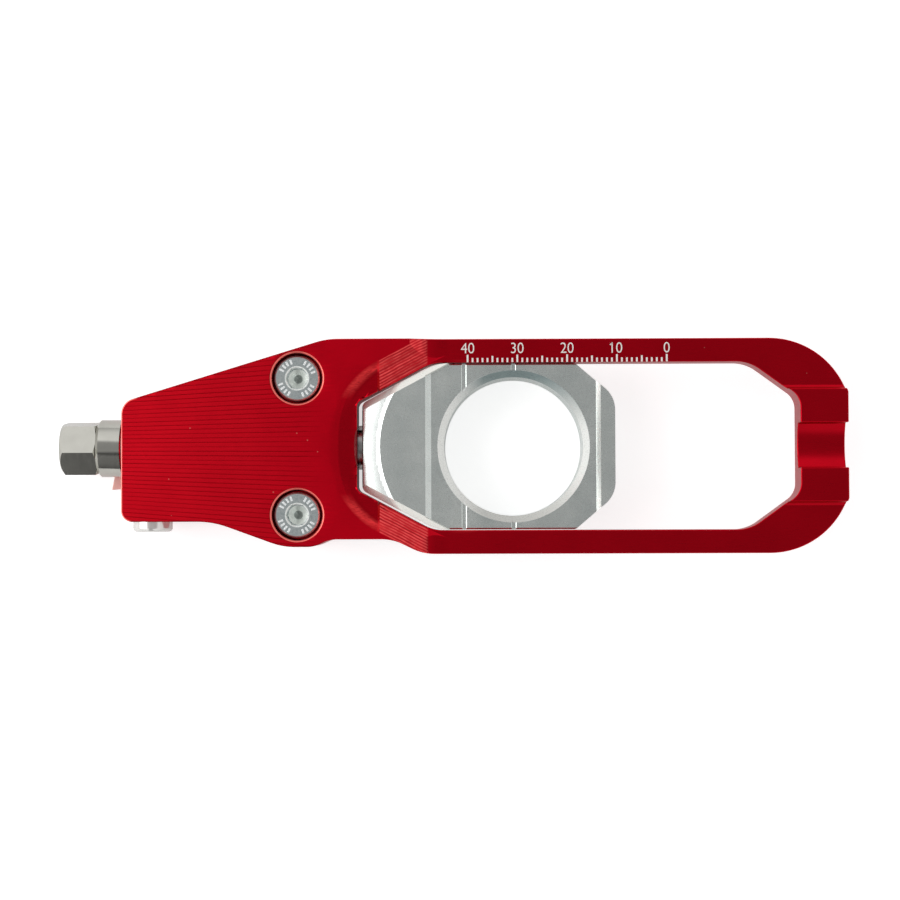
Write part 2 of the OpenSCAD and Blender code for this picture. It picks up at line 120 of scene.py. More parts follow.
def place(tree, scale=(1, 1, 1)):
    """Object coordinates in millimetres, stretched by the given scale."""
    at = add(tree, "TexCoord").outputs["Object"]
    return add(tree, "Mapping", {"Vector": at, "Scale": tuple(1000 * s for s in scale)}).outputs["Vector"]


def noise_of(tree, vector, scale, detail=3, roughness=0.5):
    """The grey value of a noise texture."""
    return add(tree, "TexNoise", {
        "Vector": vector, "Scale": scale, "Detail": detail, "Roughness": roughness,
    }).outputs["Fac"]


def ramp(tree, fac, stops):
    """A colour ramp through the given (place, grey or colour) stops."""
    node = add(tree, "ValToRGB", {"Fac": fac})
    while len(node.color_ramp.elements) < len(stops):
        node.color_ramp.elements.new(0.5)
    for element, (at, colour) in zip(node.color_ramp.elements, stops):
        element.position = at
        element.color = (*colour, 1) if hasattr(colour, "__len__") else (colour, colour, colour, 1)
    return node.outputs["Color"]


def mix(tree, fac, a, b, blend="MIX"):
    """Goes from colour a to colour b as fac goes from 0 to 1."""
    node = add(tree, "Mix", data_type="RGBA", blend_type=blend)
    # The node has sockets of its own for colours: 6 and 7 in, 2 out
    for socket, value in ((node.inputs[0], fac), (node.inputs[6], a), (node.inputs[7], b)):
        if isinstance(value, bpy.types.NodeSocket):
            tree.links.new(value, socket)
        else:
            socket.default_value = value if not hasattr(value, "__len__") or len(value) == 4 else (*value, 1)
    return node.outputs[2]


def maths(tree, operation, a, b=0.0):
    """One sum on two values."""
    return add(tree, "Math", {0: a, 1: b}, operation=operation).outputs[0]


def where_all(tree, first, *others):
    """Where all the given masks hold: their product."""
    for mask in others:
        first = maths(tree, "MULTIPLY", first, mask)
    return first


def away(tree, x, y, from_x, from_y):
    """Distance in the plane from a place, in millimetres."""
    dx = maths(tree, "SUBTRACT", x, from_x)
    dy = maths(tree, "SUBTRACT", y, from_y)
    squares = maths(tree, "ADD", maths(tree, "MULTIPLY", dx, dx), maths(tree, "MULTIPLY", dy, dy))
    return maths(tree, "SQRT", squares)


def past_diagonal(tree, along, across, left):
    """Distance out from the diagonals that start at the given left end, in millimetres."""
    out = maths(tree, "MULTIPLY", maths(tree, "SUBTRACT", across, WINDOW_LEFT_HALF / MM), cos(DIAGONAL))
    back = maths(tree, "MULTIPLY", maths(tree, "SUBTRACT", along, left / MM), sin(DIAGONAL))
    return maths(tree, "SUBTRACT", out, back)


def fade(tree, value, low, high, start=0.0, end=1.0):
    """Goes from start to end as the value goes from low to high, and holds outside them."""
    return add(tree, "MapRange", {
        "Value": value, "From Min": low, "From Max": high, "To Min": start, "To Max": end,
    }).outputs["Result"]


def bump(tree, shader, height, depth):
    """Fine relief of the given depth in metres."""
    node = add(tree, "Bump", {"Height": height, "Strength": 1.0, "Distance": depth})
    tree.links.new(node.outputs["Normal"], shader.inputs["Normal"])


# Materials

RED = (0.575, 0.001, 0.011)
NOSE_RED_LIT = ((0.57, 0.003, 0.012), (0.64, 0.004, 0.014))
RED_GROOVE_SHADE = (0.27, 0.0003, 0.003)
RED_NICK = (0.75, 0.22, 0.18)
RED_PALE_GLINT = (0.95, 0.58, 0.52)
RED_EDGE_HIGHLIGHT = (0.98, 0.20, 0.17)
FACET_RED = (0.56, 0.010, 0.018)
FACET_HIGHLIGHT = (0.95, 0.10, 0.10)
RED_SHADE = (0.02, 0.0002, 0.0005)
RED_LIT = (0.95, 0.05, 0.055)
CHAMFER_REFLECTION_GREY = (0.80, 0.81, 0.76)
LIP_SHADE_GREY = (0.30, 0.28, 0.29)
BORE_REFLECTION_LEFT = (0.98, 0.98, 0.95)
BORE_REFLECTION_RIGHT = (0.80, 0.82, 0.79)
BORE_REFLECTION_TOP = (0.22, 0.28, 0.28)
BORE_REFLECTION_FOOT = (0.62, 0.62, 0.59)

# Places of the tones, in millimetres as the materials' coordinates are
# Width of a painted highlight along a broken edge, and of its soft border
EDGE_W = 0.2
SOFT = 0.06
# Radius of the painted highlight on the rim of a screw's pocket
RIM_R = 5.40
# What stands left of the end face below this height is the cover's corner, which carries a painted pale
# reflection
CORNER_TOP = 2.5
# Where the nose's painted brightening, which stands in for the light its left end catches, starts to pass
# into the rails' tone, from the end face
NOSE_LIGHT_END = 25
# How far from the middle line the painted highlight on the terrace's slope sets in, is full, wanes and ends
CRESCENT = (9.5, 12, 15, 17.6)
# Radii in a fixing screw's socket
SOCKET_MOUTH = 2.4
SOCKET_FLOOR = 1.9
SOCKET_MIDDLE = 0.8


def red_anodised():
    """Milled aluminium anodised red: satin, rougher on the ridged nose, with painted highlights on its nose,
    facets, edges and slope and on the cover's corner, and painted shade in its grooves and on the window's
    end wall.
    """
    material, tree, shader = new_material("red_anodised")
    at = place(tree)
    parts = add(tree, "SeparateXYZ", {"Vector": at}).outputs
    along, across, height = parts["X"], maths(tree, "ABSOLUTE", parts["Y"]), parts["Z"]
    # The plate's places in millimetres, as the coordinates are
    front, rail, end, side_wall = FRONT / MM, RAIL / MM, END_FACE / MM, BODY_HIGH.y / MM
    terrace, facet_start, ridged_end = TERRACE_START / MM, FACET_START / MM, RIDGED_END / MM
    window, window_half, cone = WINDOW_LEFT / MM, WINDOW_LEFT_HALF / MM, CONE_R / MM
    left_of_cove = fade(tree, along, ridged_end + 0.35, ridged_end)
    # The ridged nose lies at the front level, left of the cove
    nose = where_all(tree, fade(tree, height, front - 0.2, front - 0.15), left_of_cove)
    # The two facets beside the window lie between the levels, right of the terrace's cone
    facet = where_all(
        tree,
        fade(tree, height, rail + 0.02, rail + 0.06),
        fade(tree, height, front - 0.02, front - 0.06),
        fade(tree, along, facet_start - 0.05, facet_start + 0.05),
        left_of_cove,
        fade(tree, across, side_wall - 0.08, side_wall - 0.16),
    )
    # The window's end wall stands in the shade of the block
    shade = where_all(
        tree,
        fade(tree, height, rail - 0.3, rail - 0.5),
        fade(tree, along, window + 0.3, window + 0.2),
        fade(tree, along, window - 0.3, window - 0.2),
        fade(tree, across, window_half + 1.5, window_half + 1.2),
    )
    # The cover's corner, left of the end face, is painted pale pink and less metallic: a painted reflection
    corner_glint = where_all(
        tree,
        fade(tree, height, CORNER_TOP + 0.1, CORNER_TOP - 0.1),
        fade(tree, along, end + 0.5, end),
    )
    # The broken edges round the nose's left end and the rims of the two screw pockets are painted with a
    # bright highlight
    rim_highlight = fade(tree, away(tree, along, across, SCREW_X / MM, SCREW_Y / MM), RIM_R + SOFT, RIM_R)
    edge = maths(tree, "MAXIMUM", rim_highlight, fade(tree, along, end + EDGE_W + SOFT, end + EDGE_W))
    for middle_y, radius, side in NOSE_CORNERS:
        from_middle = away(tree, along, parts["Y"], end + radius, middle_y)
        outwards = maths(tree, "MULTIPLY", parts["Y"], side)
        ring = where_all(
            tree,
            fade(tree, from_middle, radius - EDGE_W - SOFT, radius - EDGE_W),
            fade(tree, outwards, side * middle_y - 0.5, side * middle_y),
            fade(tree, along, end + radius, end + radius - 0.8),
        )
        edge = maths(tree, "MAXIMUM", edge, ring)
    edge = where_all(tree, edge, fade(tree, height, front - 0.55, front - 0.5))
    # The soft slope down to the terrace carries a painted highlight on both sides of the middle
    from_cone = away(tree, along, parts["Y"], CONE_X / MM, 0)
    sets_in, full, wanes, ends = CRESCENT
    crescent_highlight = where_all(
        tree,
        fade(tree, from_cone, cone - 2.0, cone - 1.2),
        fade(tree, from_cone, cone + 0.2, cone - 0.3),
        fade(tree, across, sets_in, full),
        fade(tree, across, ends, wanes),
    )

    cloud = noise_of(tree, at, 0.09, 4)
    rails_tone = ramp(tree, cloud, [(0.3, tuple(0.88 * c for c in RED)), (0.7, RED)])
    # The nose's left end is painted a little brighter than the rails, a painted highlight that fades out
    # towards the terrace
    nose_left_lit = ramp(tree, cloud, [(0.3, NOSE_RED_LIT[0]), (0.7, NOSE_RED_LIT[1])])
    nose_tone = mix(tree, fade(tree, along, end + NOSE_LIGHT_END, terrace), nose_left_lit, rails_tone)
    # The grooves between the cutter's passes are painted darker: painted shade
    groove = where_all(
        tree,
        fade(tree, height, front - 0.022, front - 0.003, 0.85, 0),
        fade(tree, along, terrace, terrace - 1),
    )
    nose_tone = mix(tree, groove, nose_tone, RED_GROOVE_SHADE)
    tone = mix(tree, nose, rails_tone, nose_tone)
    # Each ridge of the facets is painted with a bright flank, a painted highlight, and a deep one
    half_pitch = FACET_PITCH / MM / 2
    out = past_diagonal(tree, along, across, WINDOW_LEFT)
    out = maths(tree, "ADD", out, maths(tree, "MULTIPLY", noise_of(tree, at, 0.25, 2), 0.5))
    lit_flank = fade(tree, maths(tree, "PINGPONG", out, half_pitch), 0.05, half_pitch - 0.05)
    lit_flank = where_all(tree, lit_flank, fade(tree, noise_of(tree, at, 0.7, 3), 0.3, 0.6, 0.35, 1))
    tone = mix(tree, facet, tone, mix(tree, lit_flank, FACET_RED, FACET_HIGHLIGHT))
    tone = mix(tree, shade, tone, RED_SHADE)
    tone = mix(tree, corner_glint, tone, RED_PALE_GLINT)
    tone = mix(tree, edge, tone, RED_EDGE_HIGHLIGHT)
    # A few tiny nicks through the colour
    specks = add(tree, "TexVoronoi", {"Vector": at, "Scale": 0.24}).outputs["Distance"]
    nick = maths(tree, "LESS_THAN", specks, 0.035)
    tone = mix(tree, maths(tree, "MULTIPLY", nick, 0.55), tone, RED_NICK)

    grain = noise_of(tree, at, 7, 4, 0.6)
    streak = noise_of(tree, place(tree, (0.08, 1, 1)), 5, 3, 0.6)
    lit = where_all(tree, crescent_highlight, fade(tree, streak, 0.35, 0.62, 0.45, 1.0))
    tone = mix(tree, lit, tone, RED_LIT)
    tree.links.new(tone, shader.inputs["Base Color"])
    metallic = maths(tree, "SUBTRACT", 1, maths(tree, "MULTIPLY", corner_glint, 0.9))
    tree.links.new(metallic, shader.inputs["Metallic"])
    rough = ramp(tree, streak, [(0.25, 0.26), (0.75, 0.33)])
    tree.links.new(maths(tree, "ADD", rough, maths(tree, "MULTIPLY", nose, 0.14)), shader.inputs["Roughness"])
    bump(tree, shader, mix(tree, 0.5, grain, streak), 0.004 * MM)
    set_plain(shader, coat_weight=0.04, coat_roughness=0.18, coat_ior=1.6)
    return material


def aluminium():
    """Bare aluminium off a milling cutter: faint crossed lines, a soft grey cloud, painted reflections on the
    chamfers and a painted shade on the lip.
    """
    material, tree, shader = new_material("bare_aluminium")
    at = place(tree)
    parts = add(tree, "SeparateXYZ", {"Vector": at}).outputs
    along, across, height = parts["X"], parts["Y"], parts["Z"]
    # The block's places in millimetres, as the coordinates are
    left, rail, seat, axle = BLOCK_LOW.x / MM, RAIL / MM, SEAT / MM, AXLE_X / MM
    bore, bore_chamfer, chamfer_w = BORE_R / MM, BORE_CHAMFER / MM, CHAMFER_W / MM
    lip_r, bevel_end = LIP_R / MM, (LIP_R + LIP_BEVEL) / MM
    near_top = fade(tree, height, rail - 3, rail - 2.8)
    lines = noise_of(tree, place(tree, (0.2, 1, 0.5)), 9, 3, 0.7)
    cross = noise_of(tree, place(tree, (1, 0.2, 0.5)), 9, 3, 0.7)
    tone = ramp(tree, noise_of(tree, at, 0.12, 4), [(0.35, (0.72, 0.77, 0.75)), (0.65, (0.88, 0.92, 0.89))])
    tone = mix(tree, 0.2, tone, ramp(tree, cross, [(0.3, 0.5), (0.7, 1.0)]), "MULTIPLY")
    # The chamfers along the left slopes are painted a flat light grey, less metallic, a painted reflection a
    # little greyer than the lip
    out = past_diagonal(tree, along, maths(tree, "ABSOLUTE", across), BLOCK_LOW.x)
    reflection_band = where_all(tree, fade(tree, out, -chamfer_w - 0.05, -chamfer_w), near_top)
    tone = mix(tree, reflection_band, tone, CHAMFER_REFLECTION_GREY)
    # The lip is painted darker beside its bevel, a painted shade
    from_lip = away(tree, along, across, LIP_X / MM, 0)
    lip_painted_shade = where_all(
        tree,
        fade(tree, from_lip, bevel_end - 0.05, bevel_end + 0.05),
        fade(tree, along, left + 9, left + 8.5),
        near_top,
        fade(tree, from_lip, lip_r + 0.6, lip_r + 2.4, 0.42, 0),
    )
    tone = mix(tree, lip_painted_shade, tone, LIP_SHADE_GREY)
    # Round the bore the chamfer is painted with reflections, less metallic: white at the left, light at the
    # right and bluish at the top
    from_axle = away(tree, along, across, axle, 0)
    ring = where_all(
        tree,
        fade(tree, from_axle, bore + bore_chamfer + SOFT, bore + bore_chamfer),
        fade(tree, from_axle, bore - 0.1, bore + 0.02),
        fade(tree, height, seat - bore_chamfer - 0.1, seat - bore_chamfer),
    )
    upper = mix(tree, fade(tree, across, 4, 14), BORE_REFLECTION_RIGHT, BORE_REFLECTION_TOP)
    lower = mix(tree, fade(tree, across, -6, -14), upper, BORE_REFLECTION_FOOT)
    bore_reflection = mix(tree, fade(tree, along, axle - 6, axle - 13), lower, BORE_REFLECTION_LEFT)
    tone = mix(tree, ring, tone, bore_reflection)
    tree.links.new(tone, shader.inputs["Base Color"])
    dull = maths(tree, "MAXIMUM", maths(tree, "MULTIPLY", ring, 0.8), maths(tree, "MULTIPLY", reflection_band, 0.75))
    tree.links.new(maths(tree, "SUBTRACT", 1, dull), shader.inputs["Metallic"])
    tree.links.new(ramp(tree, lines, [(0.3, 0.24), (0.7, 0.34)]), shader.inputs["Roughness"])
    bump(tree, shader, mix(tree, 0.5, lines, cross), 0.003 * MM)
    return material


def turned_steel(name, colour, rough, metallic=1.0):
    """Steel off a lathe: fine rings round the bolt's axis, which runs along X."""
    material, tree, shader = new_material(name)
    rings = noise_of(tree, place(tree, (1, 0.04, 0.04)), 5, 3, 0.6)
    cloud = noise_of(tree, place(tree), 0.35, 4)
    tone = mix(tree, cloud, tuple(0.82 * c for c in colour), colour)
    tree.links.new(tone, shader.inputs["Base Color"])
    tree.links.new(ramp(tree, rings, [(0.3, rough[0]), (0.7, rough[1])]), shader.inputs["Roughness"])
    bump(tree, shader, rings, 0.003 * MM)
    set_plain(shader, metallic=metallic)
    return material


def zinc():
    """Zinc-plated steel: a mottled satin grey, with painted highlights in and round the screws' sockets and a
    darker middle in each socket's floor.
    """
    material, tree, shader = new_material("zinc_steel")
    at = place(tree)
    parts = add(tree, "SeparateXYZ", {"Vector": at}).outputs
    mottle = noise_of(tree, at, 1.6, 5, 0.65)
    tone = ramp(tree, mottle, [(0.3, (0.36, 0.41, 0.42)), (0.7, (0.74, 0.79, 0.78))])
    from_screw = away(tree, parts["X"], maths(tree, "ABSOLUTE", parts["Y"]), SCREW_X / MM, SCREW_Y / MM)
    # The socket's mouth and floor are painted light, less metallic, as painted highlights, and the floor is
    # darker in its middle
    mouth_highlight = where_all(
        tree,
        fade(tree, from_screw, SOCKET_FLOOR + 0.2, SOCKET_FLOOR + 0.3),
        fade(tree, from_screw, SOCKET_MOUTH + 0.1, SOCKET_MOUTH),
    )
    floor_middle = fade(tree, from_screw, SOCKET_MIDDLE + 0.15, SOCKET_MIDDLE)
    floor_tone = mix(tree, floor_middle, (0.80, 0.83, 0.78), (0.30, 0.32, 0.30))
    tone = mix(tree, fade(tree, from_screw, SOCKET_FLOOR + 0.1, SOCKET_FLOOR), tone, floor_tone)
    tone = mix(tree, mouth_highlight, tone, (0.90, 0.93, 0.90))
    tree.links.new(tone, shader.inputs["Base Color"])
    socket = fade(tree, from_screw, SOCKET_MOUTH + 0.1, SOCKET_MOUTH, 0, 0.55)
    tree.links.new(maths(tree, "SUBTRACT", 1, socket), shader.inputs["Metallic"])
    tree.links.new(ramp(tree, mottle, [(0.3, 0.38), (0.7, 0.26)]), shader.inputs["Roughness"])
    bump(tree, shader, noise_of(tree, at, 4, 4, 0.6), 0.008 * MM)
    return material


def bright_zinc():
    """The raised marks on the screws, rubbed bright."""
    material, tree, shader = new_material("bright_zinc")
    mottle = noise_of(tree, place(tree), 3, 4)
    tree.links.new(ramp(tree, mottle, [(0.3, (0.80, 0.84, 0.84)), (0.7, (0.97, 0.98, 0.98))]),
                   shader.inputs["Base Color"])
    bump(tree, shader, mottle, 0.004 * MM)
    set_plain(shader, metallic=0.35, roughness=0.25)
    return material


def nylon():
    """Natural nylon: a pale, even tone."""
    material, tree, shader = new_material("nylon")
    cloud = noise_of(tree, place(tree), 0.8, 4)
    tree.links.new(ramp(tree, cloud, [(0.3, (0.72, 0.70, 0.60)), (0.7, (0.82, 0.80, 0.71))]),
                   shader.inputs["Base Color"])
    bump(tree, shader, cloud, 0.01 * MM)
    set_plain(shader, roughness=0.5)
    return material


def scale_white():
    """The bare white aluminium in the engraved scale."""
    material, tree, shader = new_material("scale_white")
    grain = noise_of(tree, place(tree), 6, 3)
    tree.links.new(ramp(tree, grain, [(0.3, (0.62, 0.58, 0.55)), (0.7, (0.86, 0.84, 0.81))]),
                   shader.inputs["Base Color"])
    bump(tree, shader, grain, 0.005 * MM)
    set_plain(shader, roughness=0.55, metallic=0.1)
    return material


# Pieces

def shape_of(node, whole=True):
    """A CAD node's shape in a new bmesh, its doubles merged and, if asked, its flat faces made whole."""
    bm = bmesh.new()
    bm.from_mesh(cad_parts[node].data)
    bmesh.ops.remove_doubles(bm, verts=bm.verts, dist=0.002 * MM)
    if whole:
        bmesh.ops.dissolve_limit(bm, angle_limit=radians(0.4), verts=bm.verts, edges=bm.edges)
    return bm


def deburr(bm, width, least=30, where=None):
    """Rounds the sharp edges by a small width, as deburring leaves them."""
    sharp = [e for e in bm.edges if e.is_manifold and e.calc_face_angle(0) > radians(least)
             and (where is None or where(e))]
    bmesh.ops.bevel(bm, geom=sharp, offset=width, offset_type="OFFSET", affect="EDGES", segments=2,
                    profile=0.5, material=-1, clamp_overlap=False, loop_slide=True)


def finish_piece(name, bm, body, material, node=None, smooth=14, creases=()):
    """Turns a bmesh into a piece that rides on a CAD body, and stands for a CAD node if one is named."""
    for edge in bm.edges:
        edge.smooth = edge.is_manifold and edge.calc_face_angle(0) < radians(smooth)
    for edge in creases:
        edge.smooth = False
    for face in bm.faces:
        face.smooth = True
    mesh = bpy.data.meshes.new(name)
    bm.to_mesh(mesh)
    bm.free()
    mesh.materials.append(material)
    piece = bpy.data.objects.new(name, mesh)
    bpy.context.scene.collection.objects.link(piece)
    weights = piece.modifiers.new("weighted_normals", "WEIGHTED_NORMAL")
    weights.keep_sharp = True
    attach(piece, body)
    if node:
        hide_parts(node)
    return piece


def cut_along(bm, planes, wanted):
    """Cuts the wanted faces by planes, each given as a point and a normal; returns the wanted faces made."""
    live = {f for f in bm.faces if wanted(f, f.calc_center_median())}
    for point, normal in planes:
        edges = {e for f in live for e in f.edges}
        verts = {v for f in live for v in f.verts}
        out = bmesh.ops.bisect_plane(bm, geom=list(live) + list(edges) + list(verts), dist=0.0005 * MM,
                                     plane_co=point, plane_no=normal)
        made = [g for g in out["geom"] if isinstance(g, bmesh.types.BMFace)]
        for face in made:
            face.normal_update()
        # A neighbour whose edge was cut comes back too, and is left alone
        live = {f for f in made if wanted(f, f.calc_center_median())}
    return live


# The cutter's passes over the nose fan out from a point far to its left
FAN = 165 * MM
FAN_FOCUS = Vector((END_FACE - FAN, 0, 0))
RIDGE_PITCH = 0.92 * MM
# Where the pitch is measured, from the end face
PITCH_AT = 22 * MM
GROOVE_DEPTH = 0.035 * MM
# Half a groove's width, as a share of the pitch
GROOVE_HALF = 0.15
# How many ridges lie on each side of the middle one
RIDGES = 26
# Over this length the grooves fade out before the terrace
GROOVE_FADE = 7 * MM
# Where the nose is cut across, so that the grooves can waver, in millimetres from the end face
CROSS_CUTS = (0.45, *range(3, 44, 4))


def ridge_row(x, y):
    """Which ridge of the nose a point is on, counted from the middle."""
    return y / (x - FAN_FOCUS.x) * (FAN + PITCH_AT) / RIDGE_PITCH


def mill_nose(bm):
    """Cuts the fine grooves between the cutter's fanned passes into the nose's front face."""
    planes = [(Vector((END_FACE + x * MM, 0, 0)), Vector((1, 0, 0))) for x in CROSS_CUTS]
    for row in range(-RIDGES, RIDGES + 1):
        for part in (-GROOVE_HALF, 0, GROOVE_HALF):
            slope = (row + part) * RIDGE_PITCH / (FAN + PITCH_AT)
            planes.append((FAN_FOCUS, Vector((-slope, 1, 0)).normalized()))

    def on_nose(face, middle):
        return face.normal.z > 0.99 and middle.z > FRONT - 0.01 * MM and middle.x < COVE_END

    faces = cut_along(bm, planes, on_nose)
    for v in {v for f in faces for v in f.verts}:
        row = ridge_row(v.co.x, v.co.y)
        near = row - floor(row + 0.5)
        groove = max(0.0, 1 - abs(near) / (0.9 * GROOVE_HALF))
        wave = noise.noise(Vector((floor(row + 0.5) * 0.73, v.co.x / MM * 0.03, 0.5)))
        fading = min(1.0, max(0.0, (TERRACE_START - v.co.x) / GROOVE_FADE))
        v.co.z -= GROOVE_DEPTH * fading * (0.85 + 0.5 * wave) * groove


TERRACE_DROP = 0.5 * MM
# Width of the round slope down to the terrace, beside the facets and on the middle line
SLOPE_SIDE = 1.7 * MM
SLOPE_MIDDLE = 5.2 * MM
SLOPE_RINGS = 8
# The terrace's floor ends in a short steep step at the facets
STEP = 0.35 * MM


def facet_frame(side):
    """A point at the foot of one facet, and the direction in which the facet rises."""
    return (Vector((WINDOW_LEFT, side * WINDOW_LEFT_HALF, 0)),
            Vector((-sin(DIAGONAL), side * cos(DIAGONAL), 0)))


def flatten_terrace(bm):
    """Gives the terrace round the window's left end its flat floor, with a soft round slope down to it."""
    rise = FRONT - RAIL
    planes = [(Vector((0, 0, FRONT - rise * SLOPE_MIDDLE / FACET_W * ring / SLOPE_RINGS)), Vector((0, 0, 1)))
              for ring in range(1, SLOPE_RINGS + 1)]
    planes += [(Vector((x, 0, 0)), Vector((1, 0, 0))) for x in (FACET_START - STEP, FACET_START)]

    # The terrace's cone leans by 20 degrees
    def sloped(face, middle):
        return 0.90 < face.normal.z < 0.965 and middle.x < COVE_END and abs(face.normal.y) < 0.34

    cut_along(bm, planes, sloped)
    for v in bm.verts:
        on_top = RAIL - 0.01 * MM < v.co.z < FRONT - 0.001 * MM and abs(v.co.y) < WINDOW_HALF + 1 * MM
        if not on_top or not TERRACE_START - 0.1 * MM < v.co.x < FACET_START + 3 * MM:
            continue
        if v.co.x < FACET_START - STEP / 2:
            azimuth = atan2(v.co.y, CONE_X - v.co.x)
            width = SLOPE_SIDE + (SLOPE_MIDDLE - SLOPE_SIDE) * cos(azimuth) ** 8
            part = min(1.0, max(0.0, (CONE_R - hypot(v.co.x - CONE_X, v.co.y)) / width))
            v.co.z = FRONT - TERRACE_DROP * part * part * (3 - 2 * part)
        else:
            foot, out = facet_frame(1 if v.co.y > 0 else -1)
            up = min(1.0, max(0.0, (v.co - foot).dot(out) / FACET_W))
            if v.co.z < FRONT - 0.05 * MM:
                v.co.z = RAIL + rise * up


FACET_DEPTH = 0.03 * MM
# How far the close ridges reach out from the window's diagonals
RIDGED_REACH = 9.6 * MM


def mill_facets(bm):
    """Cuts the close ridges along the window's diagonals into the facets and the cove; returns their edge."""
    def cove(face, middle):
        between = RAIL + 0.02 * MM < middle.z < FRONT - 0.002 * MM
        beside = FACET_START - 0.01 * MM < middle.x < COVE_END
        return face.normal.z > 0.8 and face.normal.x > 0.02 and between and beside

    cut_along(bm, [(Vector((RIDGED_END, 0, 0)), Vector((1, 0, 0)))], cove)
    seams = set()
    for side in (1, -1):
        foot, out = facet_frame(side)

        def ridged(face, middle, side=side):
            return cove(face, middle) and middle.x < RIDGED_END and middle.y * side > 0

        steps = range(1, int(2 * RIDGED_REACH / FACET_PITCH))
        live = cut_along(bm, [(foot + out * (step * FACET_PITCH / 2), out) for step in steps], ridged)
        seams |= {e for f in live for e in f.edges if any(other not in live for other in e.link_faces)}
        for v in {v for f in live for v in f.verts}:
            step = (v.co - foot).dot(out) / (FACET_PITCH / 2)
            if abs(step - round(step)) < 0.02 and round(step) % 2 == 1 and v.co.z < FRONT - 0.03 * MM:
                v.co.z -= FACET_DEPTH
    return seams


def level_rails(bm):
    """Fills the shallow notches that the facets' planes leave in the rails, right of the cove."""
    # The facets lean by 20 degrees too, and face the window's diagonals
    def facet_plane(face, middle):
        return 0.93 < face.normal.z < 0.945 and 0.29 < abs(face.normal.y) < 0.32 and middle.z < RAIL + 1 * MM

    live = cut_along(bm, [(Vector((0, 0, RAIL)), Vector((0, 0, 1)))], facet_plane)
    for v in {v for f in live for v in f.verts}:
        v.co.z = max(v.co.z, RAIL)
    bmesh.ops.remove_doubles(bm, verts=bm.verts, dist=0.002 * MM)
    bmesh.ops.dissolve_degenerate(bm, dist=0.001 * MM, edges=bm.edges)
    bmesh.ops.dissolve_limit(bm, angle_limit=radians(0.4), verts=bm.verts, edges=bm.edges)


def body_piece(material):
    """The plate, with its terrace, its broken edges and the cutter's ridges."""
    bm = shape_of("body", whole=False)
    level_rails(bm)
    flatten_terrace(bm)

    def on_the_step(co):
        return FACET_START - 1.2 * STEP < co.x < FACET_START + 0.2 * STEP and co.z > RAIL - 0.1 * MM

    def not_the_step(edge):
        return not all(on_the_step(v.co) for v in edge.verts)

    deburr(bm, 0.18 * MM, 25, not_the_step)
    mill_nose(bm)

    def flat(face, middle):
        return face.normal.z > 0.999 and abs(middle.z - RAIL) < 0.01 * MM

    # One cut across the rails, just right of the cove
    cut_along(bm, [(Vector((COVE_END + 0.15 * MM, 0, 0)), Vector((1, 0, 0)))], flat)
    seams = mill_facets(bm)
    return finish_piece("red_plate", bm, "plate", material, "body", creases=seams)


# Axle block

# The middle of the fine line across the seat; the marks that read the scale stand at the axle's middle
SEAT_START = BLOCK_LOW.x + 13.9 * MM
LINE_W = 0.75 * MM
LINE_X = SEAT_START + 7 * MM - LINE_W / 2
# The edges of a fine mark lie no further than this from its middle
MARK_REACH = 0.45 * MM
LIP_DROP = 0.3 * MM
# The lip leaves its bevel at the first slope and steepens by the second for each millimetre
LIP_SLOPE = tan(radians(11))
LIP_CURVE = 0.0095
# Fall of the shallow chamfers for each millimetre of their width
CHAMFER_FALL = 0.5 * MM / CHAMFER_W
# The seat stops short of the chamfers by this much
SEAT_STOP = 0.15 * MM


def lip_fall(x, y):
    """How far the block's left end lies below its top at a place: first the bevel, then the lip."""
    far = hypot(x - LIP_X, y) - LIP_R
    run = max(0.0, far - LIP_BEVEL)
    return LIP_DROP * min(1.0, max(0.0, far) / LIP_BEVEL) + run * (LIP_SLOPE + LIP_CURVE * run / MM)


def past_chamfer(co):
    """How far a place lies outside the inner edge of the chamfer along its left slope."""
    return (abs(co.y) - WINDOW_LEFT_HALF) * cos(DIAGONAL) - (co.x - BLOCK_LOW.x) * sin(DIAGONAL) + CHAMFER_W


def slope_planes(step):
    """Planes along both left slopes, a step outside the inner edges of the chamfers."""
    planes = []
    for side in (1, -1):
        out = Vector((-sin(DIAGONAL), side * cos(DIAGONAL), 0))
        planes.append((Vector((BLOCK_LOW.x, side * WINDOW_LEFT_HALF, 0)) + out * (step - CHAMFER_W), out))
    return planes


def round_lip(bm):
    """Curves the block's left lip down towards the end, and carries the left chamfers on over it."""
    def left_end(face, middle):
        return (face.normal.z > 0.8 and RAIL - 2.8 * MM < middle.z < RAIL - 0.003 * MM
                and middle.x < BLOCK_LOW.x + 12 * MM)

    planes = slope_planes(0)
    planes += [(Vector((BLOCK_LOW.x + 0.4 * MM * i, 0, 0)), Vector((1, 0, 0))) for i in range(1, 23)]
    planes += [(Vector((0, i * MM, 0)), Vector((0, 1, 0))) for i in range(-14, 15)]
    for v in {v for f in cut_along(bm, planes, left_end) for v in f.verts}:
        if v.co.z > RAIL - 3 * MM and v.co.x < BLOCK_LOW.x + 11 * MM:
            v.co.z = RAIL - lip_fall(v.co.x, v.co.y) - CHAMFER_FALL * max(0.0, past_chamfer(v.co))


def carry_chamfers_on(bm):
    """Carries the shallow left chamfers on over the seat's corners, where the seat stops short."""
    def low(face, middle):
        return (face.normal.z > 0.3 and RAIL - 1.4 * MM < middle.z < RAIL - 0.2 * MM
                and BLOCK_LOW.x + 10 * MM < middle.x < BLOCK_LOW.x + 30 * MM)

    for v in {v for f in cut_along(bm, slope_planes(0) + slope_planes(SEAT_STOP), low) for v in f.verts}:
        reach = past_chamfer(v.co)
        if reach > SEAT_STOP - 0.01 * MM and v.co.x > BLOCK_LOW.x + 11 * MM:
            v.co.z = max(v.co.z, RAIL - CHAMFER_FALL * reach)


